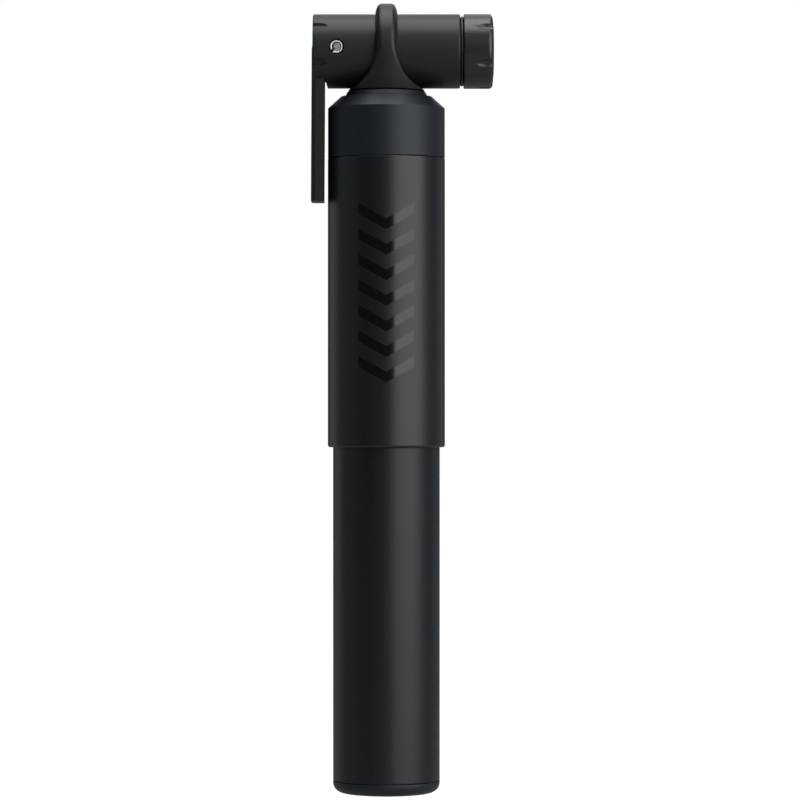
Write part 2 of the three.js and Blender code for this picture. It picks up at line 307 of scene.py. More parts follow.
def newGroup(name, inputs, outputs):
    group = bpy.data.node_groups.new(name, "ShaderNodeTree")
    for label, value in inputs.items():
        socket = group.interface.new_socket(name=label, in_out="INPUT", socket_type="NodeSocketFloat")
        socket.default_value = value
    for label in outputs:
        group.interface.new_socket(name=label, in_out="OUTPUT", socket_type="NodeSocketFloat")
    return group, group.nodes.new("NodeGroupInput").outputs, group.nodes.new("NodeGroupOutput").inputs


def feed(tree, socket, value):  # a plain number is set on the socket, anything else is linked to it
    if isinstance(value, (int, float)):
        socket.default_value = value
    else:
        tree.links.new(value, socket)


def mathNode(tree, operation, *values, clamp=False):
    node = tree.nodes.new("ShaderNodeMath")
    node.operation = operation
    node.use_clamp = clamp
    for i, value in enumerate(values):
        feed(tree, node.inputs[i], value)
    return node.outputs[0]


def scaledFrom(tree, value, level, gain, clamp=False):  # how far the value is above the level, times the gain
    return mathNode(tree, "MULTIPLY", mathNode(tree, "SUBTRACT", value, level), gain, clamp=clamp)


def objectPlace(tree):
    return tree.nodes.new("ShaderNodeTexCoord").outputs["Object"]


def noiseNode(tree, scale, detail, roughness):
    node = tree.nodes.new("ShaderNodeTexNoise")
    tree.links.new(objectPlace(tree), node.inputs["Vector"])
    feed(tree, node.inputs["Scale"], scale)
    node.inputs["Detail"].default_value = detail
    node.inputs["Roughness"].default_value = roughness
    return node.outputs["Fac"]


def makeBlastedGrain():
    # the fine pitting of a bead-blasted and anodised surface, with slow drifts in its gloss
    inputs = {"Grain Size": 0.0002, "Roughness": 0.4, "Spread": 0.05, "Drift": 0.04}
    group, given, made = newGroup("blastedGrain", inputs, ("Roughness", "Height"))
    fine = noiseNode(group, mathNode(group, "DIVIDE", 1.0, given["Grain Size"]), 3.0, 0.6)
    slow = noiseNode(group, 90.0, 3.0, 0.55)
    grain = scaledFrom(group, fine, 0.5, given["Spread"])
    drift = scaledFrom(group, slow, 0.5, given["Drift"])
    change = mathNode(group, "ADD", grain, drift)
    roughness = mathNode(group, "ADD", change, given["Roughness"], clamp=True)
    group.links.new(roughness, made["Roughness"])
    group.links.new(fine, made["Height"])
    return group


def makeTurnedLines():
    # rings left by a lathe tool: lines of uneven depth at one place along the axis
    group, given, made = newGroup("turnedLines", {"Along": 0.0, "Line Width": 0.00006}, ("Height",))
    scale = mathNode(group, "DIVIDE", 1.0, given["Line Width"])
    lines = group.nodes.new("ShaderNodeTexNoise")
    lines.noise_dimensions = "1D"
    lines.inputs["Detail"].default_value = 2.0
    lines.inputs["Scale"].default_value = 1.0
    group.links.new(mathNode(group, "MULTIPLY", given["Along"], scale), lines.inputs["W"])
    group.links.new(lines.outputs["Fac"], made["Height"])
    return group


def makeEdgeWearAndHighlight():
    # a mask along outer edges, broken up so that it isn't an even line; the edges it lightens are partly wear
    # and partly a painted edge highlight
    inputs = {"Width": 0.0002, "Amount": 0.5, "Breakup Size": 0.002}
    group, given, made = newGroup("edgeWearAndHighlight", inputs, ("Mask",))
    rounded = group.nodes.new("ShaderNodeBevel")
    rounded.samples = 4
    group.links.new(given["Width"], rounded.inputs["Radius"])
    normal = group.nodes.new("ShaderNodeNewGeometry").outputs["Normal"]
    turn = group.nodes.new("ShaderNodeVectorMath")
    turn.operation = "DOT_PRODUCT"
    group.links.new(rounded.outputs["Normal"], turn.inputs[0])
    group.links.new(normal, turn.inputs[1])
    away = mathNode(group, "SUBTRACT", 1.0, turn.outputs["Value"])
    bend = mathNode(group, "MULTIPLY", away, 7.0, clamp=True)
    patches = noiseNode(group, mathNode(group, "DIVIDE", 1.0, given["Breakup Size"]), 4.0, 0.6)
    broken = scaledFrom(group, patches, 0.3, 2.2, clamp=True)
    wornAndHighlitColour = mathNode(group, "MULTIPLY", bend, broken)
    group.links.new(mathNode(group, "MULTIPLY", wornAndHighlitColour, given["Amount"], clamp=True), made["Mask"])
    return group


def makeToneDrift():
    # slow, faint changes of tone, and a few specks of dust
    inputs = {"Amount": 0.1, "Size": 0.012, "Dust": 0.2}
    group, given, made = newGroup("toneDrift", inputs, ("Tone", "Dust"))
    clouds = noiseNode(group, mathNode(group, "DIVIDE", 1.0, given["Size"]), 4.0, 0.55)
    change = mathNode(group, "MULTIPLY", scaledFrom(group, clouds, 0.5, 2.0), given["Amount"])
    specks = scaledFrom(group, noiseNode(group, 2600.0, 1.0, 0.5), 0.76, 9.0, clamp=True)
    group.links.new(mathNode(group, "ADD", change, 0.5, clamp=True), made["Tone"])
    group.links.new(mathNode(group, "MULTIPLY", specks, given["Dust"], clamp=True), made["Dust"])
    return group


effects = {
    "grain": makeBlastedGrain(),
    "lines": makeTurnedLines(),
    "wearAndHighlight": makeEdgeWearAndHighlight(),
    "drift": makeToneDrift(),
}


def useEffect(tree, effect, values):
    node = tree.nodes.new("ShaderNodeGroup")
    node.node_tree = effects[effect]
    for label, value in values.items():
        feed(tree, node.inputs[label], value)
    return node.outputs


def mixColours(tree, share, one, other):
    node = tree.nodes.new("ShaderNodeMix")
    node.data_type = "RGBA"
    tree.links.new(share, node.inputs[0])
    for socket, colour in ((node.inputs[6], one), (node.inputs[7], other)):
        if isinstance(colour, tuple):
            socket.default_value = colour + (1.0,)
        else:
            tree.links.new(colour, socket)
    return node.outputs[2]


def mixValues(tree, share, one, other):
    gap = mathNode(tree, "SUBTRACT", other, one)
    return mathNode(tree, "ADD", mathNode(tree, "MULTIPLY", gap, share), one)


def newMaterial(name, metallic=0.0, ior=1.5):
    material = bpy.data.materials.new(name)
    material.use_nodes = True
    shader = material.node_tree.nodes["Principled BSDF"]
    shader.inputs["Metallic"].default_value = metallic
    shader.inputs["IOR"].default_value = ior
    return material, material.node_tree, shader


def addBump(tree, shader, height, strength, distance, under=None):
    bump = tree.nodes.new("ShaderNodeBump")
    bump.inputs["Strength"].default_value = strength
    bump.inputs["Distance"].default_value = distance
    tree.links.new(height, bump.inputs["Height"])
    if under:
        tree.links.new(under, bump.inputs["Normal"])
    tree.links.new(bump.outputs["Normal"], shader.inputs["Normal"])
    return bump.outputs["Normal"]


def placeParts(tree):  # the x, y and z of a point of the piece
    split = tree.nodes.new("ShaderNodeSeparateXYZ")
    tree.links.new(objectPlace(tree), split.inputs[0])
    return split.outputs


def grainEffect(tree, look):
    values = {"Grain Size": look["grain"], "Roughness": look["roughness"], "Spread": look["spread"]}
    return useEffect(tree, "grain", {**values, "Drift": look["glossDrift"]})


def driftEffect(tree, look):
    values = {"Amount": look["tone"], "Size": look["toneSize"], "Dust": look["dust"]}
    return useEffect(tree, "drift", values)


# lighter outer edges: partly wear, partly a painted edge highlight
def wearAndHighlightEffect(tree, look):
    values = {"Width": look["wearAndHighlightWidth"], "Amount": look["wearAndHighlight"], "Breakup Size": look["wearAndHighlightPatch"]}
    return useEffect(tree, "wearAndHighlight", values)


def linesBump(tree, shader, look):
    along = placeParts(tree)[look["axis"]]
    lines = useEffect(tree, "lines", {"Along": along, "Line Width": look["lineWidth"]})
    return addBump(tree, shader, lines["Height"], look["lines"], look["bumpDepth"])


def anodised(name, look):
    # black anodised aluminium: a dark dyed skin that shows fine grain or turning lines
    material, tree, shader = newMaterial(name, ior=look["ior"])
    shader.inputs["Specular Tint"].default_value = look["tint"] + (1,)
    grain, drift, wearAndHighlight = grainEffect(tree, look), driftEffect(tree, look), wearAndHighlightEffect(tree, look)
    colour = mixColours(tree, drift["Tone"], look["dark"], look["light"])
    colour = mixColours(tree, drift["Dust"], colour, look["dustColour"])
    # outer edges lightened: partly wear, partly a painted edge highlight
    colour = mixColours(tree, wearAndHighlight["Mask"], colour, look["wornAndHighlitColour"])
    roughness = grain["Roughness"]
    if "mark" in look:
        colour, roughness = addMark(tree, colour, roughness, look["mark"])
    tree.links.new(colour, shader.inputs["Base Color"])
    tree.links.new(roughness, shader.inputs["Roughness"])
    under = linesBump(tree, shader, look) if "lines" in look else None
    addBump(tree, shader, grain["Height"], look["bump"], look["bumpDepth"], under)
    return material


def addMark(tree, colour, roughness, mark):
    # a column of plain chevrons in gloss on the matte sleeve
    x, y, z = placeParts(tree)[:3]
    angle = mathNode(tree, "ARCTAN2", x, mathNode(tree, "MULTIPLY", y, -1.0))
    side = mathNode(tree, "ABSOLUTE", mathNode(tree, "MULTIPLY", angle, sleeveRadius * mm))
    lifted = mathNode(tree, "ADD", z, mathNode(tree, "MULTIPLY", side, mark["slope"]))
    turns = mathNode(tree, "DIVIDE", mathNode(tree, "SUBTRACT", lifted, mark["bottom"]), mark["pitch"])
    bar = mathNode(tree, "LESS_THAN", mathNode(tree, "FRACT", turns), mark["fill"])
    above = mathNode(tree, "GREATER_THAN", turns, 0.0)
    below = mathNode(tree, "LESS_THAN", turns, float(mark["count"]))
    narrow = mathNode(tree, "LESS_THAN", side, mark["halfWidth"])
    column = mathNode(tree, "MULTIPLY", above, below)
    mask = mathNode(tree, "MULTIPLY", mathNode(tree, "MULTIPLY", bar, narrow), column)
    colour = mixColours(tree, mask, colour, mark["colour"])
    return colour, mixValues(tree, mask, roughness, mark["roughness"])


def rubber(name, look):
    material, tree, shader = newMaterial(name)
    grain, drift = grainEffect(tree, look), driftEffect(tree, look)
    colour = mixColours(tree, drift["Tone"], look["dark"], look["light"])
    colour = mixColours(tree, drift["Dust"], colour, look["dustColour"])
    tree.links.new(colour, shader.inputs["Base Color"])
    tree.links.new(grain["Roughness"], shader.inputs["Roughness"])
    addBump(tree, shader, grain["Height"], look["bump"], look["bumpDepth"])
    return material


def bareMetal(name, look):
    material, tree, shader = newMaterial(name, metallic=1.0)
    grain, drift = grainEffect(tree, look), driftEffect(tree, look)
    tree.links.new(mixColours(tree, drift["Tone"], look["dark"], look["light"]), shader.inputs["Base Color"])
    tree.links.new(grain["Roughness"], shader.inputs["Roughness"])
    under = linesBump(tree, shader, look)
    addBump(tree, shader, grain["Height"], look["bump"], look["bumpDepth"], under)
    return material


def mouldedPlastic(name, look):
    material, tree, shader = newMaterial(name, ior=look["ior"])
    grain, drift, wearAndHighlight = grainEffect(tree, look), driftEffect(tree, look), wearAndHighlightEffect(tree, look)
    colour = mixColours(tree, drift["Tone"], look["dark"], look["light"])
    # outer edges lightened: partly wear, partly a painted edge highlight
    tree.links.new(mixColours(tree, wearAndHighlight["Mask"], colour, look["wornAndHighlitColour"]), shader.inputs["Base Color"])
    tree.links.new(grain["Roughness"], shader.inputs["Roughness"])
    addBump(tree, shader, grain["Height"], look["bump"], look["bumpDepth"])
    return material


# lengths in the finishes are in metres; the axis of the turned lines is 0, 1 or 2 for x, y or z
anodisedLook = {
    "dark": (0.0040, 0.0068, 0.0086), "light": (0.0052, 0.0086, 0.0108), "tint": (1.0, 1.0, 1.0),
    "roughness": 0.4, "ior": 1.5, "grain": 0.00016, "spread": 0.08, "glossDrift": 0.05,
    "bump": 0.14, "bumpDepth": 0.00002, "tone": 0.3, "toneSize": 0.014,
    "dust": 0.05, "dustColour": (0.11, 0.11, 0.105),
    # the lighter edge colour on the next line is partly wear, partly a painted edge highlight
    "wearAndHighlight": 0.35, "wearAndHighlightWidth": 0.00022, "wearAndHighlightPatch": 0.0016, "wornAndHighlitColour": (0.026, 0.03, 0.033),
}
markLook = {
    "bottom": 0.0945, "pitch": 0.0058, "fill": 0.42, "count": 7, "slope": -0.55, "halfWidth": 0.0066,
    "roughness": 0.16, "colour": (0.0035, 0.004, 0.0045),
}
anodisedLooks = {
    "sleeve": {"mark": markLook, "roughness": 0.36, "tint": (1.0, 0.96, 0.95), "ior": 1.56},
    "tube": {"tint": (0.92, 0.94, 1.0), "ior": 1.55,
             "dark": (0.0018, 0.004, 0.0056), "light": (0.0026, 0.0052, 0.007)},
    "collar": {"roughness": 0.47, "lines": 0.08, "lineWidth": 0.00007, "axis": 2, "tint": (0.86, 0.93, 1.0),
               "dark": (0.0068, 0.0102, 0.0135), "light": (0.0084, 0.0124, 0.016)},
    "head": {"roughness": 0.44},
    "cap": {"roughness": 0.32, "bump": 0.06, "wearAndHighlight": 0.4, "ior": 1.62},
    "lever": {"roughness": 0.45, "dark": (0.0082, 0.0082, 0.008), "light": (0.0096, 0.0096, 0.0094)},
}
rubberLook = {
    "dark": (0.008, 0.008, 0.009), "light": (0.02, 0.02, 0.021), "roughness": 0.6,
    "grain": 0.00016, "spread": 0.12, "glossDrift": 0.1, "bump": 0.25, "bumpDepth": 0.00003,
    "tone": 0.5, "toneSize": 0.004, "dust": 0.5, "dustColour": (0.12, 0.12, 0.11),
}
metalLook = {
    "grain": 0.0003, "spread": 0.12, "glossDrift": 0.1, "bump": 0.1, "bumpDepth": 0.00002,
    "lines": 0.35, "lineWidth": 0.00005, "axis": 2, "tone": 0.6, "toneSize": 0.005, "dust": 0.1,
}
metalLooks = {
    # the pin's outer wall: the same steel as its coils, painted near-white as a highlight
    "pinSteelPaintedHighlight": {"dark": (0.95, 0.94, 0.92), "light": (0.99, 0.98, 0.96), "roughness": 0.6, "axis": 1},
    # the pin's inner coils: the same steel as its wall, painted darker as shade in the recess
    "coilSteelPaintedShade": {"dark": (0.3, 0.3, 0.28), "light": (0.56, 0.55, 0.52), "roughness": 0.46, "axis": 1},
    "rodSteel": {"dark": (0.5, 0.5, 0.51), "light": (0.62, 0.62, 0.63), "roughness": 0.22},
    "drawnAlloy": {"dark": (0.55, 0.56, 0.58), "light": (0.68, 0.69, 0.71), "roughness": 0.3},
    "turnedBrass": {"dark": (0.5, 0.36, 0.14), "light": (0.66, 0.49, 0.22), "roughness": 0.26},
}
plasticLook = {
    "dark": (0.022, 0.022, 0.024), "light": (0.034, 0.034, 0.036), "roughness": 0.42, "ior": 1.48,
    "grain": 0.0004, "spread": 0.08, "glossDrift": 0.08, "bump": 0.12, "bumpDepth": 0.00002,
    "tone": 0.4, "toneSize": 0.006, "dust": 0.15,
    # the lighter edge colour on the next line is partly wear, partly a painted edge highlight
    "wearAndHighlight": 0.3, "wearAndHighlightWidth": 0.0002, "wearAndHighlightPatch": 0.001, "wornAndHighlitColour": (0.09, 0.09, 0.09),
}
materials = {
    **{name: anodised(name + "Anodised", {**anodisedLook, **look}) for name, look in anodisedLooks.items()},
    "rubber": rubber("nitrileRubber", rubberLook),
    "greasedRubber": rubber("greasedRubber", {**rubberLook, "roughness": 0.4}),
    **{name: bareMetal(name, {**metalLook, **look}) for name, look in metalLooks.items()},
    "acetal": mouldedPlastic("acetal", plasticLook),
}
print("materials ready:", len(materials))


# the corners of the outlines below are (radius, height, rounding)
endCapLook = {
    "seamGap": 0.14, "foot": 9.8, "rise": 2.3, "edge": 0.12, "plug": 10.95, "shoulder": 11.6,
    "groove": 9.9, "grooveLow": 6.6, "grooveHigh": 8, "tip": 10.3, "top": 12.2, "hole": 2.1, "holeFloor": 4,
}


def buildEndCap(look):
    flank = tubeRadius - look["foot"]
    plug, groove, hole = look["plug"], look["groove"], look["hole"]
    seam, top = tubeLow.z - look["seamGap"], look["top"]
    curve = [
        (look["foot"] + flank * math.sin(a), look["rise"] * (1 - math.cos(a)))
        for a in (quarterTurn * i / 14 for i in range(1, 14))
    ]
    corners = [
        (0, 0), (look["foot"], 0), *curve, (tubeRadius, look["rise"]), (tubeRadius, seam, look["edge"]),
        (plug, seam, 0.1), (plug, look["grooveLow"], 0.1), (groove, look["grooveLow"], 0.2),
        (groove, look["grooveHigh"], 0.2), (plug, look["grooveHigh"], 0.1), (plug, look["shoulder"], 0.2),
        (look["tip"], top, 0.2), (hole, top, 0.2), (hole, look["holeFloor"]), (0, look["holeFloor"]),
    ]
    piece = addObject("handleEndCap", turnedMesh(roundedOutline(corners, False), False))
    return finish(piece, materials["collar"], "handle", "satin_black", "handle_end_cap")


handleTubeLook = {"bore": 11.3, "groove": 11.85, "grooveGap": 0.1}


def buildHandleTube(look):
    low, high = tubeLow.z, tubeHigh.z
    ringLow, ringHigh = nodeBox("handle_guide_ring")
    bore, groove = look["bore"], look["groove"]
    grooveLow, grooveHigh = ringLow.z - look["grooveGap"], ringHigh.z + look["grooveGap"]
    corners = [
        (bore, low, 0.15), (tubeRadius, low, 0.12), (tubeRadius, grooveLow, 0.05), (groove, grooveLow),
        (groove, grooveHigh), (tubeRadius, grooveHigh, 0.05), (tubeRadius, high, 0.2), (bore, high, 0.2),
    ]
    piece = addObject("handleTube", turnedMesh(roundedOutline(corners)))
    return finish(piece, materials["tube"], "handle", "anodised_black", "handle_tube")


buildEndCap(endCapLook)
buildHandleTube(handleTubeLook)
print("handle built")


sleeveLook = {
    "edge": 0.5, "topEdge": 0.12, "bore": 12.6, "groove": 13.05, "grooveLow": 80.4, "grooveHigh": 83.7,
}


def buildSleeve(look):
    low, high = sleeveLow.z, sleeveHigh.z
    bore, groove = look["bore"], look["groove"]
    corners = [
        (bore, low, 0.15), (sleeveRadius, low, look["edge"]), (sleeveRadius, high, look["topEdge"]),
        (bore, high, 0.1), (bore, look["grooveHigh"], 0.1), (groove, look["grooveHigh"]),
        (groove, look["grooveLow"]), (bore, look["grooveLow"], 0.1),
    ]
    piece = addObject("outerSleeve", turnedMesh(roundedOutline(corners), sides=192))
    return finish(piece, materials["sleeve"], "pump_body", "anodised_black", "outer_sleeve")


collarLook = {
    "seamGap": 0.14, "inset": 0.03, "register": 12.35, "shoulder": 157.7, "edge": 0.2,
    "ledge": (10.5, 160.4), "rimFoot": (9.5, 160.52), "rim": 9.0,
    "barrelSocket": 9.85, "spigotSocket": 6.75, "socketFloor": 153.4,
}


def buildCollar(look):
    seam, top = sleeveHigh.z + look["seamGap"], collarHigh.z
    radius = sleeveRadius - look["inset"]
    socket, spigotSocket, floor = look["barrelSocket"], look["spigotSocket"], look["socketFloor"]
    corners = [
        (socket, collarLow.z, 0.15), (look["register"], collarLow.z, 0.3), (look["register"], seam),
        (radius, seam, 0.1), (radius, look["shoulder"], look["edge"]), (*look["ledge"], 0.3),
        (*look["rimFoot"], 0.12), (look["rim"], top, 0.15), (spigotSocket, top, 0.1),
        (spigotSocket, floor), (socket, floor),
    ]
    piece = addObject("collar", turnedMesh(roundedOutline(corners), sides=192))
    return finish(piece, materials["collar"], "pump_body", "satin_black", "collar")


buildSleeve(sleeveLook)
buildCollar(collarLook)
print("sleeve and collar built")


yokeLook = {
    "ring": 11.0, "halfWidth": 2.55, "crown": 1.66, "slope": 1.5, "bore": 8.63, "fillet": 8.6, "drop": 0.7,
    "stem": 8.8, "base": 161.72, "swell": 1.6, "turnFrom": -3.5, "turnSpan": 4.5, "fadeFrom": 1.5,
    "fade": 0.045, "edge": 0.22, "crownBlend": 0.55, "baseBlend": 0.1, "boreBlend": 0.2,
    "airHole": 1.5, "airTaper": 10, "step": 0.2, "margin": 0.7,
}


def yokeField(x, y, z):
    look = yokeLook
    up = z - chuckHeight
    reach = np.sqrt(y ** 2 + up ** 2)
    fromAxis = np.sqrt(x ** 2 + y ** 2)
    # outside: a stem that swells upwards and turns into the ring's roundness
    rise = np.clip((z - look["base"]) / (chuckHeight - look["base"]), 0, 1)
    stem = look["ring"] - (look["ring"] - look["stem"]) * (1 - rise) ** look["swell"]
    share = np.clip((up - look["turnFrom"]) / look["turnSpan"], 0, 1)
    share = share ** 2 * (3 - 2 * share)
    outer = share * (reach - look["ring"]) + (1 - share) * (fromAxis - stem)
    # sides: flat on the ring, then a long fillet down to the stem
    below = np.minimum(up + look["drop"], 0)
    wall = look["fillet"] - np.sqrt((np.abs(x) - look["halfWidth"] - look["fillet"]) ** 2 + below ** 2)
    # the crown's sloping edges, which fade out on the way down
    inset = look["halfWidth"] - look["crown"]
    slope = ((wall + inset) * look["slope"] + outer * inset) / math.hypot(inset, look["slope"])
    slope = slope - look["fade"] * np.maximum(look["fadeFrom"] - up, 0) ** 2
    whole = softMax(softMax(outer, wall, look["edge"]), slope, look["crownBlend"])
    whole = softMax(whole, look["base"] - z, look["baseBlend"])
    whole = softMax(whole, look["bore"] - reach, look["boreBlend"])
    # the air's way up through the stem, which ends at the bore
    airHole = look["airHole"] - fromAxis - np.maximum(up, 0) * look["airTaper"]
    return softMax(whole, airHole, look["baseBlend"])


def buildYoke(look):
    pad = look["margin"]
    low = (-look["stem"] - pad, -look["ring"] - pad, look["base"] - pad)
    high = (look["stem"] + pad, look["ring"] + pad, chuckHeight + look["ring"] + pad)
    piece = addObject("yoke", fieldMesh("yoke", yokeField, low, high, look["step"]), smoothBelow=60)
    return finish(piece, materials["head"], "pump_body", "head_black", "yoke_head")


spigotLook = {
    "top": yokeLook["base"] + 0.02, "airHole": 1.5, "coneTop": 159.4, "springHole": 2.4, "coneFoot": 158.6,
    "low": 150.5, "radius": 6.5, "groove": 5.4, "grooveLow": 156.2, "grooveHigh": 157.8,
}


def buildSpigot(look):  # the yoke's plug in the collar, with the check spring inside
    low, top, radius, groove = look["low"], look["top"], look["radius"], look["groove"]
    corners = [
        (look["airHole"], top), (look["airHole"], look["coneTop"]), (look["springHole"], look["coneFoot"]),
        (look["springHole"], low, 0.2), (radius, low, 0.5), (radius, look["grooveLow"], 0.1),
        (groove, look["grooveLow"], 0.2), (groove, look["grooveHigh"], 0.2),
        (radius, look["grooveHigh"], 0.1), (radius, top),
    ]
    piece = addObject("yokeSpigot", turnedMesh(roundedOutline(corners), sides=96))
    return finish(piece, materials["head"], "pump_body", "head_black")


buildYoke(yokeLook)
buildSpigot(spigotLook)
print("yoke built")


scallopLook = {"count": 6, "radius": 1.2, "depth": 0.5, "nose": 3.0}


def scallopCutters(look, radius, face, inward, reach, first):
    # finger grips: a long round-nosed cutter that runs along the cylinder and out through its end
    tail = reach + 2
    outline = [
        Vector((look["radius"] * math.sin(a), look["nose"] * (1 - math.cos(a))))
        for a in (quarterTurn * i / 14 for i in range(15))
    ]
    outline += [Vector((look["radius"], tail)), Vector((0, tail))]
    flip = Matrix.Rotation(math.pi if inward > 0 else 0, 4, "X")
    start = Vector((radius + look["radius"] - look["depth"], 0, face + inward * reach))
    move = Matrix.Translation(start * mm)
    cutters = []
    for i in range(look["count"]):
        mesh = turnedMesh(outline, False, 48)
        spin = Matrix.Rotation(first + fullTurn * i / look["count"], 4, "Z")
        bmesh.ops.transform(mesh, matrix=alongChuck @ spin @ move @ flip, verts=mesh.verts)
        cutters.append(addObject("scallopCutter", mesh))
    return cutters


housingLook = {
    "radius": 8.55, "right": 17.0, "edge": 0.35, "breakEdge": 0.12,
    "grooves": ((-2.35, -1.05, 7.35), (-0.8, 0.8, 7.9), (1.05, 2.35, 7.35)),  # start, end, radius
    "neckSeat": 6.52, "neckSeatLow": 16.2, "chamber": 6.4, "chamberLow": 14, "bore": 5.2, "boreWall": 0.6,
    "slotEnd": -13.9, "pocketEnd": -6.9, "pocketFloor": 165.7, "pocketRoof": 177.35, "halfWidth": 5.35,
    "corner": 0.7, "slotLip": (0.72, 1.3), "pinHole": 1.6, "pinMouth": 1.82, "mouthDepth": 7.2,
    "mouthLength": 6, "gripReach": 4.05, "gripTurn": 0.905,
}


def pocketCutter(look, floor, start, end):  # the lever's room, cut along the chuck
    half, corner, roof = look["halfWidth"], look["corner"], look["pocketRoof"]
    outline = [
        (-half, floor), (half, floor), (half, roof - corner), (half - corner, roof), (corner - half, roof),
        (-half, roof - corner),
    ]
    mesh = prism(outline, start, end)
    turn = Matrix(((0, 0, 1, 0), (1, 0, 0, 0), (0, 1, 0, 0), (0, 0, 0, 1)))  # X, Y and Z become Y, Z and X
    bmesh.ops.transform(mesh, matrix=turn, verts=mesh.verts)
    return addObject("pocketCutter", mesh)


def lipCutter(look):  # the slope at the foot of the slot
    end, foot = look["slotEnd"], chuckHeight - look["radius"]
    lipOut, lipUp = look["slotLip"]
    outline = [(end - 1, foot - 1), (end + lipOut, foot - 1), (end, foot + lipUp), (end - 1, foot + lipUp)]
    mesh = prism(outline, -look["halfWidth"], look["halfWidth"])
    return addObject("lipCutter", mesh, Matrix.Rotation(quarterTurn, 4, "X"))


def buildHousing(look):
    radius, right, seat = look["radius"], look["right"], look["neckSeat"]
    corners = [(0, housingLeft), (radius, housingLeft, look["edge"])]
    for start, end, depth in look["grooves"]:
        corners += [(radius, start), (depth, start), (depth, end), (radius, end)]
    boreEnd = look["pocketEnd"] - look["boreWall"]
    corners += [
        (radius, right, look["edge"]), (seat, right), (seat, look["neckSeatLow"]),
        (look["chamber"], look["neckSeatLow"]), (look["chamber"], look["chamberLow"], 0.3),
        (look["bore"], look["chamberLow"], 0.1), (look["bore"], boreEnd), (0, boreEnd),
    ]
    piece = addObject("chuckHousing", turnedMesh(roundedOutline(corners, False), False, 144), alongChuck)
    pinCutter = addObject("pinCutter", rod(look["pinHole"], -overshoot, overshoot, 48), alongPin)
    pocketBack = pocketCutter(look, look["pocketFloor"], look["slotEnd"] - 0.1, look["pocketEnd"])
    slot = pocketCutter(look, chuckHeight - overshoot, housingLeft - 1, look["slotEnd"])
    length = look["mouthLength"]
    mouths = [
        addObject("mouthCutter", rod(look["pinMouth"], start, start + length, 48), alongPin)
        for start in (look["mouthDepth"], -look["mouthDepth"] - length)
    ]
    lip = lipCutter(look)
    scallops = scallopCutters(scallopLook, radius, housingLeft, 1, look["gripReach"], look["gripTurn"])
    cutAway(piece, [slot, pocketBack, lip, pinCutter, *mouths, *scallops])
    breakEdges(piece, look["breakEdge"])
    return finish(piece, materials["head"], "pump_body", "head_black", "chuck_housing")


threadLook = {
    "root": 6.55, "crest": 6.95, "pitch": 1.0, "play": 0.1, "bore": 6.4, "shell": 7.2,
    "neck": (16.3, 22.2), "nut": (17.95, 22.15), "sides": 96, "rowsPerPitch": 10,
    "flank": 3.4, "crestShare": 1.7, "runIn": (0.9, 0.4), "runOut": 0.5,
}


def threadedShell(name, look, wall, start, end, play, fades):
    # a shell with a screw thread on one side: the nut's side is the screw's side plus some play
    sides, rows = look["sides"], int((end - start) / look["pitch"] * look["rowsPerPitch"])
    plainPart, fadePart = look["runIn"]
    made = bmesh.new()

    def threadRadius(angle, along):
        phase = (along / look["pitch"] - angle / fullTurn) % 1
        height = min(1, max(0, look["crestShare"] - look["flank"] * abs(phase - 0.5)))
        if fades:
            height *= min(1, max(0, (end - along) / look["runOut"]))
            height *= min(1, max(0, (along - start - plainPart) / fadePart))
        return look["root"] + (look["crest"] - look["root"]) * height + play

    def addRing(radiusAt, along):
        ring = []
        for angle in (fullTurn * i / sides for i in range(sides)):
            radius = radiusAt(angle, along) * mm
            ring.append(made.verts.new((radius * math.cos(angle), radius * math.sin(angle), along * mm)))
        return ring

    def wallRadius(angle, along):
        return wall

    rings = [addRing(wallRadius, start)]
    for i in range(rows + 1):
        rings.append(addRing(threadRadius, start + (end - start) * i / rows))
    rings.append(addRing(wallRadius, end))
    for one, other in zip(rings, rings[1:] + rings[:1]):
        for i in range(sides):
            j = (i + 1) % sides
            made.faces.new((one[i], one[j], other[j], other[i]))
    bmesh.ops.recalc_face_normals(made, faces=made.faces)
    return addObject(name, made, alongChuck, smoothBelow=50)


def buildThreads(look):
    neck = threadedShell("chuckNeck", look, look["bore"], *look["neck"], 0, True)
    finish(neck, materials["head"], "pump_body", "head_black")
    nut = threadedShell("capThread", look, look["shell"], *look["nut"], look["play"], False)
    finish(nut, materials["cap"], "cap", "cap_black")


capLook = {
    "radius": 8.6, "back": 17.8, "round": 0.95, "dome": 0.3, "domeStart": 5.7, "hole": 4.2, "bore": 7.15,
    "wall": 22.95, "breakEdge": 0.07, "gripReach": 4.5, "gripTurn": 0.934,
}


def buildCap(look):
    radius, hole, bore, wall = look["radius"], look["hole"], look["bore"], look["wall"]
    corners = [
        (bore, look["back"], 0.2), (radius, look["back"], 0.25),
        (radius, capFace - look["dome"], look["round"]), (look["domeStart"], capFace, 0.8),
        (hole, capFace, 0.45), (hole, wall, 0.1), (bore, wall),
    ]
    piece = addObject("chuckCap", turnedMesh(roundedOutline(corners, steps=8), sides=176), alongChuck)
    cutAway(piece, scallopCutters(scallopLook, radius, capFace, -1, look["gripReach"], look["gripTurn"]))
    breakEdges(piece, look["breakEdge"])
    return finish(piece, materials["cap"], "cap", "cap_black", "chuck_cap")


plungerLook = {
    "radius": 4.9, "groove": 3.9, "grooveLow": -5.6, "grooveHigh": -4.2, "waist": 3.7, "waistLow": -2.6,
    "waistHigh": 3, "flange": 6.1, "flangeLow": 14.25, "rim": 3.4, "dish": 2.9, "dishDepth": 0.5,
    "bore": 1.2, "boreEnd": -0.6,
}


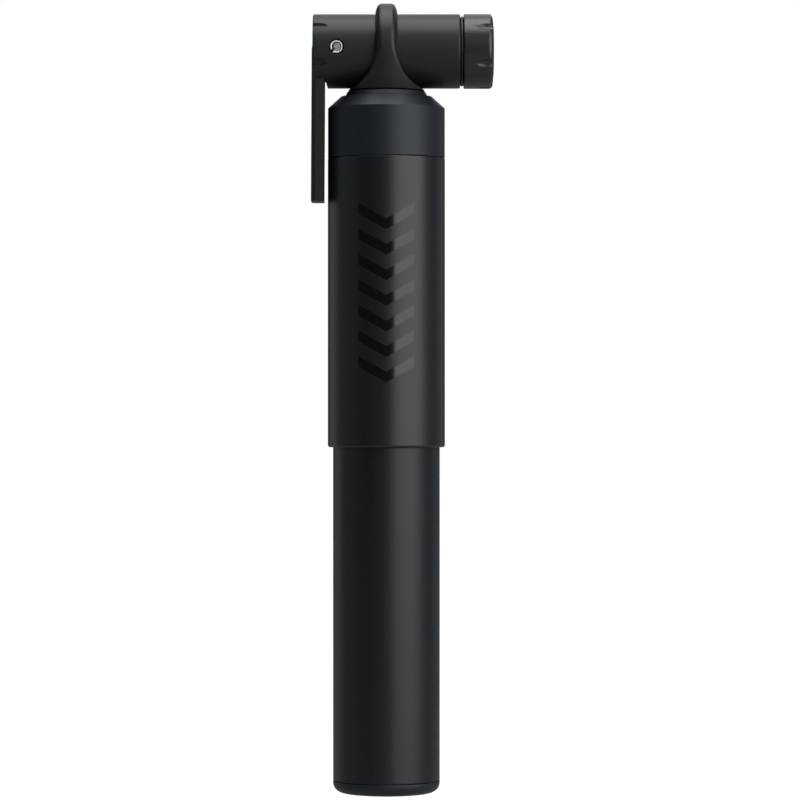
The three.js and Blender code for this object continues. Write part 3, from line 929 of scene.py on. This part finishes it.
def buildPlunger(look):
    low, high = (corner.x for corner in nodeBox("plunger"))
    radius, groove, waist, bore = look["radius"], look["groove"], look["waist"], look["bore"]
    dishFloor = high - look["dishDepth"]
    corners = [
        (0, low), (radius, low, 0.4), (radius, look["grooveLow"], 0.1), (groove, look["grooveLow"], 0.2),
        (groove, look["grooveHigh"], 0.2), (radius, look["grooveHigh"], 0.1), (radius, look["waistLow"], 0.3),
        (waist, look["waistLow"], 0.3), (waist, look["waistHigh"], 0.3), (radius, look["waistHigh"], 0.3),
        (radius, look["flangeLow"], 0.1), (look["flange"], look["flangeLow"], 0.2),
        (look["flange"], high, 0.25), (look["rim"], high, 0.2), (look["dish"], dishFloor, 0.3),
        (bore, dishFloor, 0.2), (bore, look["boreEnd"]), (0, look["boreEnd"]),
    ]
    piece = addObject("plunger", turnedMesh(roundedOutline(corners, False), False, 96), alongChuck)
    return finish(piece, materials["acetal"], "plunger", "guide_plastic", "plunger")


gasketLook = {
    "radius": 6.2, "bore": 3.2, "mouth": 3.7, "mouthDepth": 0.9, "backStep": 0.1,
    "groove": 3.5, "grooveLow": 18.4, "grooveHigh": 19.8, "grooveSlope": 0.4, "squashed": 1.5,
}


def buildGasket(look):
    low, high = (corner.x for corner in nodeBox("valve_gasket"))
    radius, bore, groove, slope = look["radius"], look["bore"], look["groove"], look["grooveSlope"]
    corners = [
        (bore, low + look["backStep"], 0.35), (radius, low, 0.3), (radius, high, 0.3),
        (look["mouth"], high, 0.4), (bore, high - look["mouthDepth"], 0.4),
        (bore, look["grooveHigh"] + slope, 0.2), (groove, look["grooveHigh"], 0.2),
        (groove, look["grooveLow"], 0.2), (bore, look["grooveLow"] - slope, 0.2),
    ]
    piece = addObject("valveGasket", turnedMesh(roundedOutline(corners, steps=4), sides=96), alongChuck)
    finish(piece, materials["rubber"], "pump_body", "seal_rubber", "valve_gasket")
    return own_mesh(piece)


buildHousing(housingLook)
buildThreads(threadLook)
buildCap(capLook)
buildPlunger(plungerLook)
buildGasket(gasketLook)
print("chuck built")


# the lever's sizes are measured from its pin
leverLook = {
    "outer": -5.75, "inner": -2.8, "tip": -35.15, "halfWidth": 5.25, "camBase": 2.8, "camLift": 1.5,
    "neck": ((-2.8, -4.8), (-2.62, -4.25), (-2.2, -3.6), (-1.6, -3.1), (-0.8, -2.86)), "backDrop": 0.6,
    "hole": 1.6, "edge": 0.32, "chamfer": 0.9, "lean": 0.006, "leanFrom": 6,
}


def leverOutline(look):
    rise = look["camLift"] / quarterTurn  # how far the cam grows with each radian
    base, back = look["camBase"], -look["outer"] - rise
    points = [(look["inner"], look["tip"]), *look["neck"]]
    for i in range(17):
        a = -quarterTurn * (1 - i / 16)
        points.append((base * math.cos(a), base * math.sin(a)))
    for i in range(25):
        a = quarterTurn * i / 24
        reach = base + rise * a
        points.append((reach * math.cos(a) - rise * math.sin(a), reach * math.sin(a) + rise * math.cos(a)))
    for i in range(1, 17):
        a = quarterTurn * (1 + i / 16)
        points.append((-rise + back * math.cos(a), -look["backDrop"] + back * math.sin(a)))
    points.append((look["outer"], look["tip"]))
    return points


def buildLever(look):
    half, chamfer = look["halfWidth"], look["chamfer"]
    piece = addObject("lockLever", prism(leverOutline(look), -half, half), alongPin)
    face = pivot.x + look["outer"]
    low, high = pivot.z + look["tip"] - 5, pivot.z + overshoot
    wedges = []
    for side in (-1, 1):
        y = side * half
        corner = [(face - 1, y - side * (chamfer + 1)), (face + chamfer + 1, y + side), (face - 1, y + side)]
        wedges.append(addObject("leverWedge", prism(corner, low, high)))
    hole = addObject("leverHole", rod(look["hole"], -overshoot, overshoot, 64), alongPin)
    cutAway(piece, [hole, *wedges])
    breakEdges(piece, look["edge"], 3, 32)
    for vertex in piece.data.vertices:  # the arm leans out a little towards its tip
        depth = max(0, (pivot.z - look["leanFrom"]) * mm - vertex.co.z)
        vertex.co.x -= depth * look["lean"]
    return finish(piece, materials["lever"], "lever", "lever_black", "lock_lever")


pinLook = {
    "radius": 1.46, "wall": 0.38, "gap": 0.025, "halfLength": 8.0, "round": 0.1, "seam": 0.66,
    "slitTurn": 0.93, "coreSunk": 0.08, "coreHole": 0.1, "coreRound": 0.05, "eye": 0.03, "stepsPerTurn": 56,
}


def coilMesh(look, outer, turns, halfLength):
    # a strip rolled up about Y, from the outer radius inwards
    shrink = look["wall"] + look["gap"] if turns > 1 else 0
    steps = int(look["stepsPerTurn"] * turns)
    made = bmesh.new()
    rows = []
    for i in range(steps + 1):
        turn = turns * i / steps
        angle = fullTurn * (turn + look["seam"])
        far = outer - shrink * turn
        near = max(far - look["wall"], look["eye"])
        rows.append([
            made.verts.new((radius * math.cos(angle) * mm, y * mm, radius * math.sin(angle) * mm))
            for radius, y in ((far, -halfLength), (far, halfLength), (near, halfLength), (near, -halfLength))
        ])
    for one, other in zip(rows, rows[1:]):
        for a in range(4):
            b = (a + 1) % 4
            made.faces.new((one[a], one[b], other[b], other[a]))
    made.faces.new(rows[0])
    made.faces.new(rows[-1])
    bmesh.ops.recalc_face_normals(made, faces=made.faces)
    return made


def buildPin(look):
    # a rolled pin: a slit outer wall that stands proud of the coils inside it; the wall's steel is painted
    # lighter as a highlight and the coils' steel darker as shade
    stand = Matrix.Translation(pivot * mm)
    wall = coilMesh(look, look["radius"], look["slitTurn"], look["halfLength"])
    shell = addObject("leverPin", wall, stand)
    breakEdges(shell, look["round"], 3, 50)
    finish(shell, materials["pinSteelPaintedHighlight"], "pump_body", "bright_steel", "lever_pin")
    layer = look["wall"] + look["gap"]
    inside = look["radius"] - layer
    turns = (inside - look["coreHole"]) / layer
    coil = coilMesh(look, inside, turns, look["halfLength"] - look["coreSunk"])
    core = addObject("leverPinCore", coil, stand)
    breakEdges(core, look["coreRound"], 3, 50)
    # the coils' darker steel is painted shade
    finish(core, materials["coilSteelPaintedShade"], "pump_body", "bright_steel")


buildLever(leverLook)
buildPin(pinLook)
print("lever built")


def tubeOutline(low, high, outer, inner, edge=0.12):
    corners = [(inner, low, edge), (outer, low, edge), (outer, high, edge), (inner, high, edge)]
    return roundedOutline(corners, steps=4)


def ringOutline(radius, thickness, height):
    half = thickness / 2
    return [
        Vector((radius + half * math.cos(a), height + half * math.sin(a)))
        for a in (fullTurn * i / 20 for i in range(20))
    ]


slots = {
    "rubber": "seal_rubber", "greasedRubber": "seal_rubber", "acetal": "guide_plastic",
    "rodSteel": "bright_steel", "drawnAlloy": "bare_alloy", "turnedBrass": "seat_brass",
}


def buildTurned(name, outline, material, body, node, turn=None, closed=True, sides=96):
    piece = addObject(name, turnedMesh(outline, closed, sides), turn)
    return finish(piece, materials[material], body, slots[material], node)


# node: name, radius to the middle of the section, thickness, place along the axis, body, material, turn
sealRings = {
    "end_cap_o_ring": ("endCapRing", 10.5, 1.0, 7.3, "handle", "rubber", None),
    "piston_o_ring": ("pistonRing", 7.45, 1.7, 143.1, "handle", "greasedRubber", None),
    "barrel_seal": ("barrelSeal", 9.05, 0.9, 152.75, "pump_body", "rubber", None),
    "spigot_o_ring": ("spigotRing", 6.05, 1.0, 157.0, "pump_body", "rubber", None),
    "yoke_o_ring_left": ("yokeRingLeft", 7.98, 1.0, -1.7, "pump_body", "greasedRubber", alongChuck),
    "yoke_o_ring_right": ("yokeRingRight", 7.98, 1.0, 1.7, "pump_body", "greasedRubber", alongChuck),
    "plunger_o_ring": ("plungerRing", 4.5, 1.0, -4.9, "plunger", "greasedRubber", alongChuck),
    "cap_o_ring": ("capRing", 7.7, 0.72, 17.4, "pump_body", "greasedRubber", alongChuck),
}
for node, (name, radius, thickness, place, body, material, turn) in sealRings.items():
    outline = ringOutline(radius, thickness, place)
    buildTurned(name, outline, material, body, node, turn, sides=128)

# node: name, low, high, outer radius, inner radius, body, material, turn
plainTubes = {
    "handle_guide_ring": ("guideRing", 139.6, 142.8, 12.5, 11.95, "handle", "acetal", None),
    "stop_bumper": ("stopBumper", 136.7, 139.6, 5.5, 2.95, "handle", "rubber", None),
    "sleeve_bushing": ("sleeveBushing", 80.5, 83.5, 12.95, 12.42, "pump_body", "acetal", None),
    "barrel": ("barrel", 72, 152, 9.6, 8.5, "pump_body", "drawnAlloy", None),
    "valve_seat": ("valveSeat", 147.9, 150.2, 8.3, 1.2, "pump_body", "turnedBrass", None),
    "cap_washer": ("capWasher", 22.35, 22.75, 6.95, 4.2, "cap_carrier", "acetal", alongChuck),
}
for node, (name, low, high, outer, inner, body, material, turn) in plainTubes.items():
    buildTurned(name, tubeOutline(low, high, outer, inner), material, body, node, turn)

rodLook = {"radius": 2.75, "tenon": 1.9, "low": 4.3, "shoulder": 12.5, "headSeat": 139.7, "high": 147.4}


def buildRod(look):
    radius, tenon = look["radius"], look["tenon"]
    corners = [
        (0, look["low"]), (tenon, look["low"], 0.3), (tenon, look["shoulder"]),
        (radius, look["shoulder"], 0.2), (radius, look["headSeat"], 0.2), (tenon, look["headSeat"]),
        (tenon, look["high"], 0.3), (0, look["high"]),
    ]
    outline = roundedOutline(corners, False)
    buildTurned("pistonRod", outline, "rodSteel", "handle", "piston_rod", closed=False, sides=64)


pistonLook = {
    "radius": 8.2, "bore": 2.1, "low": 139.85, "high": 146,
    "groove": 6.5, "grooveLow": 142.1, "grooveHigh": 144.1,
}


def buildPistonHead(look):
    radius, bore, groove = look["radius"], look["bore"], look["groove"]
    corners = [
        (bore, look["low"], 0.2), (radius, look["low"], 0.5), (radius, look["grooveLow"], 0.1),
        (groove, look["grooveLow"], 0.3), (groove, look["grooveHigh"], 0.3),
        (radius, look["grooveHigh"], 0.1), (radius, look["high"], 0.5), (bore, look["high"], 0.2),
    ]
    buildTurned("pistonHead", roundedOutline(corners), "acetal", "handle", "piston_head")


rodGuideLook = {"bore": 2.95, "flange": 9.6, "low": 70.3, "flangeHigh": 71.8, "plug": 8.3, "high": 80.3}


def buildRodGuide(look):
    bore, flange, plug = look["bore"], look["flange"], look["plug"]
    corners = [
        (bore, look["low"], 0.4), (flange, look["low"], 0.5), (flange, look["flangeHigh"], 0.2),
        (plug, look["flangeHigh"], 0.1), (plug, look["high"], 0.5), (bore, look["high"], 0.4),
    ]
    buildTurned("rodGuide", roundedOutline(corners), "acetal", "pump_body", "rod_guide")


nutLook = {"corner": 3.7, "low": 146.15, "high": 147.55, "hole": 2.1, "edge": 0.15}


def buildPistonNut(look):
    corner, low, high = look["corner"], look["low"], look["high"]
    hexagon = [(corner * math.cos(a), corner * math.sin(a)) for a in (fullTurn * i / 6 for i in range(6))]
    nut = addObject("pistonNut", prism(hexagon, low, high))
    cutAway(nut, [addObject("nutHole", rod(look["hole"], low - overshoot, high + overshoot, 48))])
    breakEdges(nut, look["edge"])
    finish(nut, materials["rodSteel"], "handle", "bright_steel", "piston_nut")


ballLook = {"radius": 1.9}


def buildCheckBall(look):
    radius = look["radius"]
    centre = nodeBox("check_ball")[0].z + radius
    outline = [
        Vector((radius * math.sin(a), centre - radius * math.cos(a)))
        for a in (math.pi * i / 24 for i in range(25))
    ]
    outline[0].x = outline[-1].x = 0
    buildTurned("checkBall", outline, "rodSteel", "ball", "check_ball", closed=False, sides=48)


springLook = {
    "radius": 1.5, "wire": 0.25, "low": 153.6, "high": 158.1, "turns": 5, "steps": 100, "closeTurns": 0.05,
    "kept": 0.83,
}


def buildCheckSpring(look):
    low, high, steps, turns = look["low"], look["high"], look["steps"], look["turns"]
    path = bpy.data.curves.new("checkSpring", "CURVE")
    path.dimensions = "3D"
    path.bevel_depth = look["wire"] * mm
    path.bevel_resolution = 3
    path.use_fill_caps = True
    coil = path.splines.new("NURBS")
    coil.points.add(steps)
    for i in range(steps + 1):
        share = i / steps
        closing = min(1, share * turns, (1 - share) * turns)  # the end turns lie closer
        angle = fullTurn * turns * share
        side = 1 if share < 0.5 else -1
        height = low + (high - low) * (share + look["closeTurns"] * (closing - 1) * side)
        place = Vector((look["radius"] * math.cos(angle), look["radius"] * math.sin(angle), height)) * mm
        coil.points[i].co = (*place, 1)
    coil.use_endpoint_u = True
    spring = bpy.data.objects.new("checkSpring", path)
    bpy.context.scene.collection.objects.link(spring)
    mesh = bpy.data.meshes.new_from_object(spring.evaluated_get(bpy.context.evaluated_depsgraph_get()))
    bpy.data.objects.remove(spring)
    piece = addObject("checkSpring", mesh, smoothBelow=50)
    finish(piece, materials["rodSteel"], "pump_body", "bright_steel", "check_spring")
    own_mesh(piece)


buildRod(rodLook)
buildPistonHead(pistonLook)
buildRodGuide(rodGuideLook)
buildPistonNut(nutLook)
buildCheckBall(ballLook)
buildCheckSpring(springLook)
print("inner works built")


# a plain pale floor, soft studio light, and a camera in front of the pump
stageLook = {
    "cameraPlace": (0.00314, -0.85, 0.09048), "lens": 165.75, "sensor": 36,
    "floorHeight": -0.058, "floorHalf": 6, "floorBounce": (0.34, 0.34, 0.34), "floorGlow": 1.27,
    "glowShare": 0.8, "surround": (0.024, 0.034, 0.04), "backdrop": (1.0, 1.0, 1.0), "lightsAim": (0, 0, 0.1),
}
lights = {
    "key": {"azimuth": 46, "distance": 1.2, "height": 0.45, "size": (1.5, 1.5), "radiance": 2.35},
    "rimLeft": {"azimuth": -128, "distance": 1.2, "height": 0.04, "size": (0.7, 1.4), "radiance": 0.4},
    "rimRight": {"azimuth": 134, "distance": 1.2, "height": 0.1, "size": (0.7, 1.4), "radiance": 0.24},
    "top": {"azimuth": 0, "distance": 0.04, "height": 1.25, "size": (1.1, 1.1), "radiance": 3.05},
    "back": {"azimuth": 176, "distance": 1.1, "height": 0.85, "size": (0.9, 1.2), "radiance": 0.85},
    "side": {"azimuth": 98, "distance": 1.2, "height": 0.2, "size": (0.6, 1.4), "radiance": 0.1},
    "fill": {"azimuth": -82, "distance": 1.2, "height": 0.2, "size": (1.0, 1.4), "radiance": 0.2,
             "tint": (0.7, 0.9, 1.0)},
}


def addLight(name, look, aim):
    angle = math.radians(look["azimuth"])
    width, height = look["size"]
    data = bpy.data.lights.new(name, "AREA")
    data.shape = "RECTANGLE"
    data.size, data.size_y = width, height
    data.energy = look["radiance"] * math.pi * width * height
    data.color = look.get("tint", (1, 1, 1))
    lamp = bpy.data.objects.new(name, data)
    outward = Vector((math.sin(angle), -math.cos(angle), 0))
    place = outward * look["distance"] + Vector((0, 0, look["height"]))
    turn = (Vector(aim) - place).to_track_quat("-Z", "Y").to_matrix().to_4x4()
    lamp.matrix_world = Matrix.Translation(place) @ turn
    lamp.visible_camera = False
    bpy.context.scene.collection.objects.link(lamp)
    return lamp


def addWorld(look):  # the pump reflects a dim surround, and the camera sees a white one
    world = bpy.data.worlds.new("studio")
    bpy.context.scene.world = world
    world.use_nodes = True
    tree = world.node_tree
    surround = tree.nodes["Background"]
    surround.inputs["Color"].default_value = look["surround"] + (1,)
    white = tree.nodes.new("ShaderNodeBackground")
    white.inputs["Color"].default_value = look["backdrop"] + (1,)
    seen = tree.nodes.new("ShaderNodeLightPath").outputs["Is Camera Ray"]
    mix = tree.nodes.new("ShaderNodeMixShader")
    tree.links.new(seen, mix.inputs[0])
    tree.links.new(surround.outputs[0], mix.inputs[1])
    tree.links.new(white.outputs[0], mix.inputs[2])
    tree.links.new(mix.outputs[0], tree.nodes["World Output"].inputs["Surface"])


def addFloor(look):  # low enough for the handle to slide all the way out above it
    made = bmesh.new()
    bmesh.ops.create_grid(made, x_segments=8, y_segments=8, size=look["floorHalf"])
    floor = addObject("floor", made)
    floor.location.z = look["floorHeight"]
    material = bpy.data.materials.new("paleFloor")
    material.use_nodes = True
    tree = material.node_tree
    shader = tree.nodes["Principled BSDF"]
    shader.inputs["Base Color"].default_value = look["floorBounce"] + (1,)
    shader.inputs["Roughness"].default_value = 0.9
    glow = tree.nodes.new("ShaderNodeEmission")
    glow.inputs["Strength"].default_value = look["floorGlow"]
    seen = tree.nodes.new("ShaderNodeLightPath").outputs["Is Camera Ray"]
    mix = tree.nodes.new("ShaderNodeMixShader")
    tree.links.new(mathNode(tree, "MULTIPLY", seen, look["glowShare"]), mix.inputs[0])
    tree.links.new(shader.outputs[0], mix.inputs[1])
    tree.links.new(glow.outputs[0], mix.inputs[2])
    tree.links.new(mix.outputs[0], tree.nodes["Material Output"].inputs["Surface"])
    floor.data.materials.append(material)


def addCamera(look):
    data = bpy.data.cameras.new("camera")
    data.lens = look["lens"]
    data.sensor_width = look["sensor"]
    data.clip_start = 0.01
    camera = bpy.data.objects.new("camera", data)
    camera.location = look["cameraPlace"]
    camera.rotation_euler = (quarterTurn, 0, 0)
    bpy.context.scene.collection.objects.link(camera)
    bpy.context.scene.camera = camera


addCamera(stageLook)
addWorld(stageLook)
addFloor(stageLook)
for name, look in lights.items():
    addLight(name, look, stageLook["lightsAim"])
bpy.context.scene.view_settings.view_transform = "Standard"
print("stage set")
